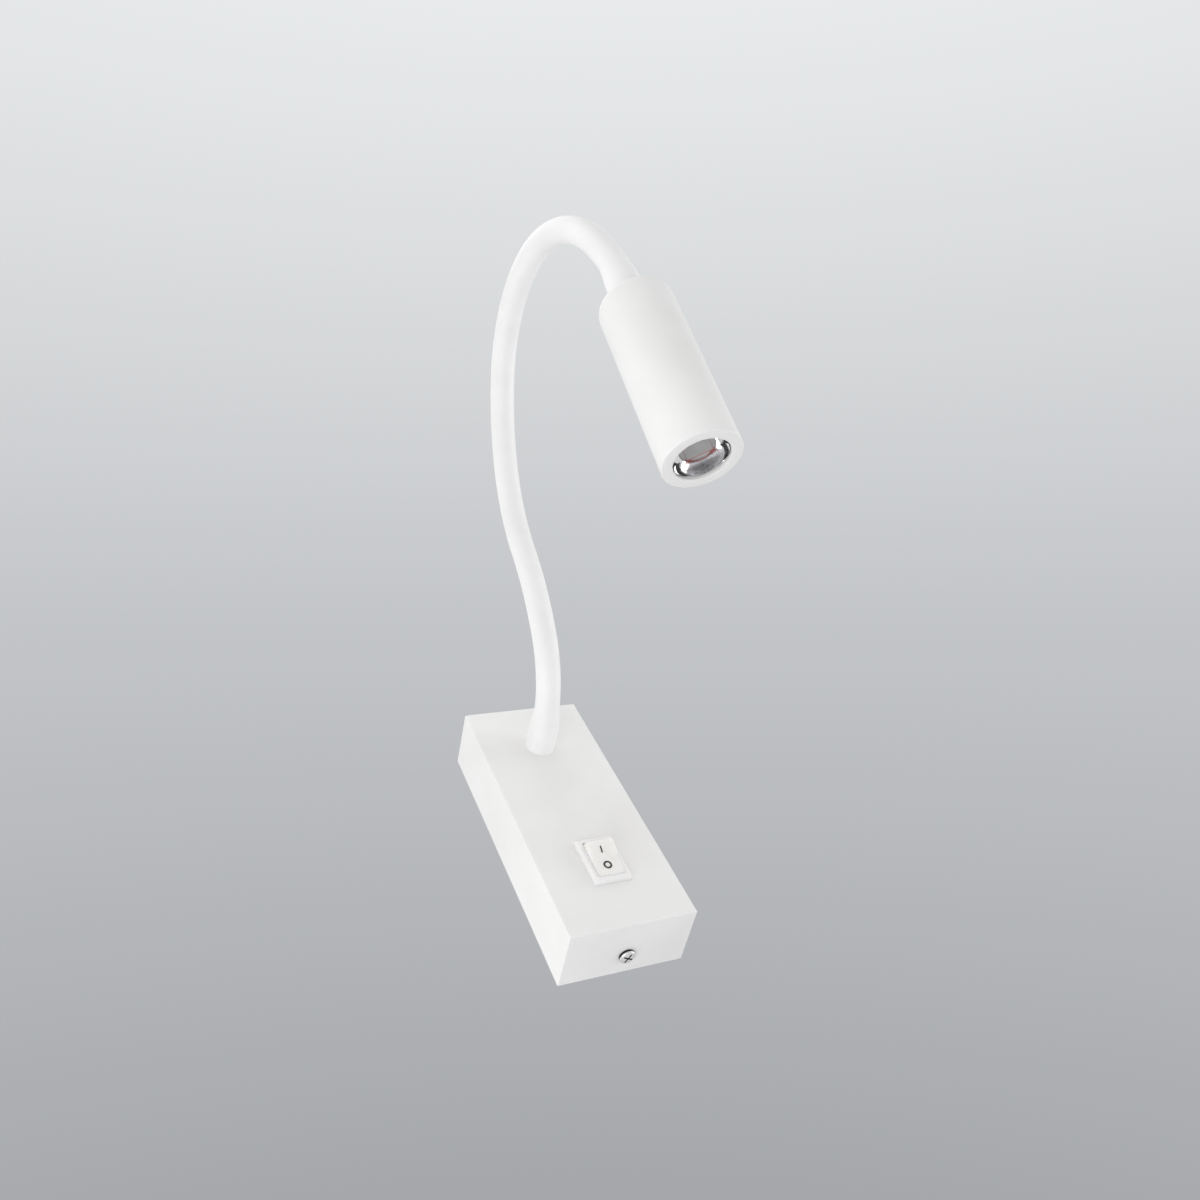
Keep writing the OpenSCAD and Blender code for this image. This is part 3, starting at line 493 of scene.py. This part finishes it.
def make_marks():
    """The on bar and the off ring, printed on the rocker's two slopes."""
    bar = bmesh.new()
    bmesh.ops.create_grid(bar, x_segments=1, y_segments=BAR_STEPS, size=1.0,
                          matrix=Matrix.Diagonal((BAR_HALF_W, BAR_HALF_L, 1, 1)))
    add_mark(bar, "mark_on", BAR_PLACE)
    ring = bmesh.new()
    bmesh.ops.create_circle(ring, cap_ends=True, radius=RING_R, segments=RING_STEPS)
    middle = ring.faces[:]
    bmesh.ops.inset_region(ring, faces=middle, thickness=RING_WIDTH, use_even_offset=True, use_boundary=True)
    bmesh.ops.delete(ring, geom=middle, context="FACES")
    add_mark(ring, "mark_off", RING_PLACE)


# Arm
def along_bend(point, angle, bend, share=1.0):
    """Point and direction after a share of one link, from those at its start."""
    turned = angle + bend * share
    step = Vector((math.sin(turned) - math.sin(angle), math.cos(angle) - math.cos(turned)))
    return point + LINK_LEN / bend * step, turned


def arm_point(k, share=0.0):
    """Point (outward, up) and direction at a share of the length of link k; link 0 is the straight root."""
    if k == 0:
        return Vector((BASE_D + ROOT_LEN * share, ARM_Z)), 0.0
    point, angle = Vector((BASE_D + ROOT_LEN, ARM_Z)), 0.0
    for bend in BENDS[:k - 1]:
        point, angle = along_bend(point, angle, bend)
    return along_bend(point, angle, BENDS[k - 1], share)


def ease(value):
    """Smooth step from 0 to 1."""
    value = min(max(value, 0.0), 1.0)
    return value * value * (3 - 2 * value)


def collar_share(along):
    """0 on the plain arm, 1 where the sleeve's collar meets the head."""
    to_head = ROOT_LEN + LINK_LEN * LINKS - along
    return 1 - ease((to_head - COLLAR_LEN) / (COLLAR_START - COLLAR_LEN))


def sleeve_radius(along):
    """Sleeve radius at a distance along the arm: a foot and a collar that taper into the plain arm."""
    foot_share = 1 - ease((along - FOOT_LEN) / (FOOT_END - FOOT_LEN))
    return SLEEVE_R + (FOOT_R - SLEEVE_R) * foot_share + (COLLAR_R - SLEEVE_R) * collar_share(along)


def arm_matrix(point, angle):
    return Matrix.Translation((0, -point.x, point.y)) @ Matrix.Rotation(math.pi / 2 - angle, 4, "X")


def make_sleeves():
    """One length of sleeve over each joint, from the middle of one link to the middle of the next."""
    for k in range(1, LINKS + 1):
        first = 0.0 if k == 1 else 0.5
        last = 1.0 if k == LINKS else 0.5
        stops = [(k - 1, first + (1 - first) * i / SLEEVE_STEPS) for i in range(SLEEVE_STEPS + 1)]
        stops += [(k, last * i / SLEEVE_STEPS) for i in range(1, SLEEVE_STEPS + 1)]
        bm = bmesh.new()
        bmesh.ops.create_circle(bm, cap_ends=False, radius=1.0, segments=SLEEVE_SIDES)
        ring = bm.edges[:]
        verts = bm.verts[:]
        placed = Matrix.Identity(4)
        for step, (link, share) in enumerate(stops):
            if step:
                made = bmesh.ops.extrude_edge_only(bm, edges=ring)["geom"]
                ring, verts = edges_of(made), verts_of(made)
            along = ROOT_LEN * share if link == 0 else ROOT_LEN + LINK_LEN * (link - 1 + share)
            radius = sleeve_radius(along)
            shift = Matrix.Translation(COLLAR_SHIFT * collar_share(along))
            here = arm_matrix(*arm_point(link, share)) @ shift @ Matrix.Diagonal((radius, radius, 1, 1))
            bmesh.ops.transform(bm, matrix=here @ placed.inverted(), verts=verts)
            placed = here
        bmesh.ops.recalc_face_normals(bm, faces=bm.faces)
        bmesh.ops.solidify(bm, geom=bm.faces[:], thickness=SLEEVE_R - SLEEVE_BORE_R)
        nodes = ["arm_sleeve_%d" % (k - 1)] + (["arm_sleeve_%d" % LINKS] if k == LINKS else [])
        piece = make_piece(bm, "sleeve_%d" % k, SILICONE, None, nodes)
        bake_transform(piece)


# Head
def head_matrix():
    return arm_matrix(*arm_point(LINKS, 1.0))


def add_head_piece(bm, name, material, nodes, smooth=35):
    bmesh.ops.transform(bm, matrix=head_matrix(), verts=bm.verts)
    make_piece(bm, name, material, "head", nodes, smooth)


def make_head():
    shell = lathe([(HEAD_HOLE_R, 0), (COLLAR_R, 0), (COLLAR_R, NECK_LEN),
                   (HEAD_BACK_R, NECK_LEN), (HEAD_R, HEAD_LEN), (HEAD_BORE_R, HEAD_LEN),
                   (HEAD_BORE_R, HEAD_BACK), (HEAD_HOLE_R, HEAD_BACK)],
                  [(3, BACK_ROUND, BACK_STEPS), (4, FRONT_ROUND, ROUND_STEPS)])
    add_head_piece(shell, "head_housing", POWDER, ["head_shell"])
    seat_r, seat_z = LENS_R + LENS_PLAY, LENS_SEAT + LENS_PLAY
    ring = lathe([(OPENING_R, HEAD_LEN), (HEAD_BORE_R, HEAD_LEN), (HEAD_BORE_R, seat_z), (seat_r, seat_z),
                  (seat_r, LENS_FRONT), (OPENING_R, LENS_FRONT)], [(0, OPENING_ROUND, ROUND_STEPS)])
    add_head_piece(ring, "head_front_ring", POWDER, ["head_ring"])
    shares = [j / DOME_STEPS for j in range(DOME_STEPS + 1)]
    dome = [(RIM_R * share, LENS_FRONT - DOME_PLAY - DOME_DROP * share ** 2) for share in shares]
    cone = [(CONE_FRONT_R, LENS_SEAT), (CONE_MIDDLE_R, (LENS_SEAT + LENS_BACK) / 2), (CONE_BACK_R, LENS_BACK)]
    optic = lathe(dome + cone + [(0, LENS_BACK)])
    add_head_piece(optic, "lens_optic", OPTIC, ["lens"], smooth=25)


def lacquered_board():
    """Bare metal board with a stripe of red lacquer on two sides of the LED package, in its turned frame."""
    f = Finish("lacquered_board", Specular_IOR_Level=0.5)
    package = head_matrix() @ Matrix.Rotation(CHIP_TURN, 4, "Z")
    mapping = f.node("ShaderNodeMapping")
    mapping.inputs["Location"].default_value = package.inverted().to_translation()
    mapping.inputs["Rotation"].default_value = package.inverted().to_euler()
    mapping.inputs["Scale"].default_value = (1 / MM,) * 3
    f.link(f.object_coords, mapping.inputs["Vector"])
    split = f.node("ShaderNodeSeparateXYZ")
    f.link(mapping.outputs["Vector"], split.inputs["Vector"])
    outer = f.node("ShaderNodeMath")
    outer.operation = "MAXIMUM"
    for axis, limit, socket in zip("XY", (LACQUER_HALF_W, LACQUER_HALF_L), outer.inputs):
        side = f.node("ShaderNodeMath")
        side.operation = "ABSOLUTE"
        f.link(split.outputs[axis], side.inputs[0])
        beyond = f.node("ShaderNodeMath")
        beyond.operation = "SUBTRACT"
        beyond.inputs[1].default_value = limit
        f.link(side.outputs["Value"], beyond.inputs[0])
        f.link(beyond.outputs["Value"], socket)
    outside = f.node("ShaderNodeMapRange")
    outside.inputs["From Min"].default_value, outside.inputs["From Max"].default_value = 0.0, LACQUER_FADE
    f.link(outer.outputs["Value"], outside.inputs["Value"])
    f.tint(outside.outputs["Result"], (0.62, 0.040, 0.025), (0.74, 0.73, 0.72), 0.0, 1.0)
    f.gloss(f.noise(600, 2), 0.28, 0.42)
    f.relief(f.noise(1500, 2), 0.012, 0.3)
    return f.material


# Materials of the nodes that keep their CAD shape
def dress_cad_nodes():
    links = range(LINKS + 1)
    finishes = (
        (ZINC, ["wall_bracket", "bracket_tabs", "terminal_screws", "arm_washer", "arm_nut",
                "board_screws", "head_nut"]),
        (BRASS, ["terminal_tubes", "earth_screw", "arm_nipple", "switch_blades", "switch_contact",
                 "head_nipple"]),
        (RUBBER, ["cable_bush"]), (BLOCK, ["terminal_block"]), (CASE, ["driver_case", "driver_lid"]),
        (BOARD_GREEN, ["driver_board"]), (PART_BLACK, ["driver_parts"]), (WIRE_BROWN, ["mains_wires"]),
        (REFLECTOR, ["lens_holder"]), (lacquered_board(), ["led_board"]), (CERAMIC, ["led_chip"]),
        (BARE_ALUMINIUM, ["heat_sink"]), (ZINC, ["arm_hose_%d" % k for k in links]),
        (LEAD_RED, ["arm_leads_%d" % k for k in links]))
    for material, names in finishes:
        for name in names:
            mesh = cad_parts[name].data
            mesh.materials.clear()
            mesh.materials.append(material)


# Stage and light
def make_floor():
    bm = bmesh.new()
    bmesh.ops.create_grid(bm, x_segments=1, y_segments=1, size=FLOOR_HALF,
                          matrix=Matrix.Translation((0, 0, FLOOR_Z)))
    mesh = bpy.data.meshes.new("floor")
    bm.to_mesh(mesh)
    bm.free()
    f = Finish("floor_paper", Specular_IOR_Level=0.2)
    f.tint(f.noise(3, 4), (0.60, 0.60, 0.61), (0.63, 0.63, 0.64))
    f.gloss(f.noise(20, 2), 0.7, 0.85)
    mesh.materials.append(f.material)
    floor = bpy.data.objects.new("floor", mesh)
    scene.collection.objects.link(floor)


def add_softbox(name, towards, power):
    lamp = bpy.data.lights.new(name, "AREA")
    lamp.shape, lamp.size, lamp.energy = "DISK", SOFTBOX_SIZE, power
    softbox = bpy.data.objects.new(name, lamp)
    ray = Vector(towards).normalized()
    place = Matrix.Translation(Vector(SOFTBOX_TARGET) + ray * SOFTBOX_DISTANCE)
    softbox.matrix_world = place @ ray.to_track_quat("Z", "Y").to_matrix().to_4x4()
    softbox.visible_camera = False
    scene.collection.objects.link(softbox)


def make_world():
    """Even studio light for the object, and the photo's grey fade behind it."""
    world = bpy.data.worlds.new("studio")
    scene.world = world
    world.use_nodes = True
    nodes, link = world.node_tree.nodes, world.node_tree.links.new
    nodes.clear()
    coords = nodes.new("ShaderNodeTexCoord")
    up = nodes.new("ShaderNodeVectorMath")
    up.operation = "DOT_PRODUCT"
    up.inputs[1].default_value = FADE_UP
    link(coords.outputs["Generated"], up.inputs[0])
    span = nodes.new("ShaderNodeMapRange")
    span.inputs["From Min"].default_value, span.inputs["From Max"].default_value = -FADE_REACH, FADE_REACH
    link(up.outputs["Value"], span.inputs["Value"])
    fade = nodes.new("ShaderNodeValToRGB")
    fade.color_ramp.elements[0].color = FADE_LOW
    fade.color_ramp.elements[1].color = FADE_HIGH
    fade.color_ramp.elements.new(0.5).color = FADE_MIDDLE
    link(span.outputs["Result"], fade.inputs["Fac"])
    seen = nodes.new("ShaderNodeBackground")
    link(fade.outputs["Color"], seen.inputs["Color"])
    glow = nodes.new("ShaderNodeBackground")
    glow.inputs["Color"].default_value = GLOW_COLOUR
    glow.inputs["Strength"].default_value = GLOW_STRENGTH
    path = nodes.new("ShaderNodeLightPath")
    looks = path.outputs["Is Camera Ray"]
    for ray in ("Is Glossy Ray", "Is Transmission Ray"):
        either = nodes.new("ShaderNodeMath")
        either.operation = "MAXIMUM"
        link(looks, either.inputs[0])
        link(path.outputs[ray], either.inputs[1])
        looks = either.outputs["Value"]
    mix = nodes.new("ShaderNodeMixShader")
    link(looks, mix.inputs["Fac"])
    link(glow.outputs["Background"], mix.inputs[1])
    link(seen.outputs["Background"], mix.inputs[2])
    out = nodes.new("ShaderNodeOutputWorld")
    link(mix.outputs["Shader"], out.inputs["Surface"])


place_camera()
make_base_cover()
make_cover_screw("cover_screw_bottom", -1, ["cover_screws"])
make_cover_screw("cover_screw_top", 1, [])
make_switch_body()
make_rocker()
make_marks()
make_sleeves()
make_head()
dress_cad_nodes()
make_floor()
make_world()
for softbox in SOFTBOXES:
    add_softbox(*softbox)

bpy.context.view_layer.update()
